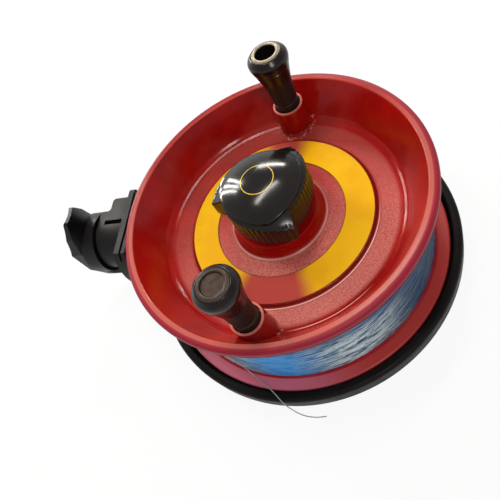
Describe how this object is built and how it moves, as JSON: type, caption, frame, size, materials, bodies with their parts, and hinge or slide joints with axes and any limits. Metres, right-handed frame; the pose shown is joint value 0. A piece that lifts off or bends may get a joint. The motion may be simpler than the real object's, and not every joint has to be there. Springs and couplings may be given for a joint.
{
  "type": "side-cast fishing reel",
  "caption": "Side-cast fishing reel: a dished red spool with wound line and winding handles on a fixed spindle, with a tension knob, a round back plate and a swivelling rod foot.",
  "frame": {"origin": "centre of the back plate's back face, on the spindle's axis", "axes": "+Z along the spindle from the back plate to the knob, -X towards the foot"},
  "size_m": [0.2036, 0.1692, 0.092],
  "materials": {
    "red_glassfibre": "moulded glass-fibre, glossy",
    "black_plastic": "satin moulded",
    "gloss_black": "gloss moulded",
    "label_yellow": "printed film",
    "line_blue": "clear monofilament",
    "steel": "turned",
    "brass": "turned",
    "nylon": "natural",
    "fibre": "oiled"
  },
  "bodies": {
    "frame": {"back_plate": "black_plastic", "leg_bracket": "black_plastic", "bracket_screws": "steel", "spindle": "steel", "spindle_washer": "steel", "spindle_nut": "brass", "thrust_washer": "nylon", "pressure_plate": "steel", "disc_springs": "steel", "swivel_bolt": "steel", "swivel_bush": "brass", "swivel_washer": "nylon", "swivel_springs": "steel", "swivel_nut": "steel", "stop_pin": "steel", "line_tail": "line_blue"},
    "spool": {"spool": "red_glassfibre", "spool_flange": "red_glassfibre", "rear_bush": "brass", "front_bush": "brass", "friction_washer": "fibre", "label_ring": "label_yellow", "line_core": "line_blue", "line_winding": "line_blue", "handle_insert_a": "brass", "handle_insert_b": "brass", "handle_screw_a": "steel", "handle_screw_b": "steel", "handle_washers_a": "nylon", "handle_washers_b": "nylon"},
    "handle_a": {"handle_grip_a": "gloss_black", "handle_bush_a": "nylon"},
    "handle_b": {"handle_grip_b": "gloss_black", "handle_bush_b": "nylon", "handle_plug_b": "black_plastic"},
    "collar": {"thrust_collar": "brass"},
    "knob": {"star_knob": "gloss_black", "knob_insert": "brass"},
    "foot": {"reel_foot": "black_plastic"}
  },
  "joints": [
    {"name": "spool_spin", "type": "hinge", "parent": "frame", "child": "spool", "pos_m": [0, 0, 0.03], "axis": [0, 0, 1], "continuous": true},
    {"name": "handle_a_spin", "type": "hinge", "parent": "spool", "child": "handle_a", "pos_m": [0.00412, 0.05886, 0.06], "axis": [0, 0, 1], "continuous": true},
    {"name": "handle_b_spin", "type": "hinge", "parent": "spool", "child": "handle_b", "pos_m": [-0.00412, -0.05886, 0.06], "axis": [0, 0, 1], "continuous": true},
    {"name": "knob_lift", "type": "slide", "parent": "frame", "child": "collar", "axis": [0, 0, 1], "range_m": [0, 0.0019], "deforming": ["disc_springs"]},
    {"name": "knob_turn", "type": "hinge", "parent": "collar", "child": "knob", "pos_m": [0, 0, 0.06], "axis": [0, 0, 1], "range_deg": [0, 540]},
    {"name": "foot_swivel", "type": "hinge", "parent": "frame", "child": "foot", "pos_m": [-0.1, 0, 0.036], "axis": [1, 0, 0], "range_deg": [0, 90]}
  ],
  "couplings": [
    {"joint": "knob_lift", "follows": "knob_turn", "m_per_rad": 0.00019894}
  ]
}
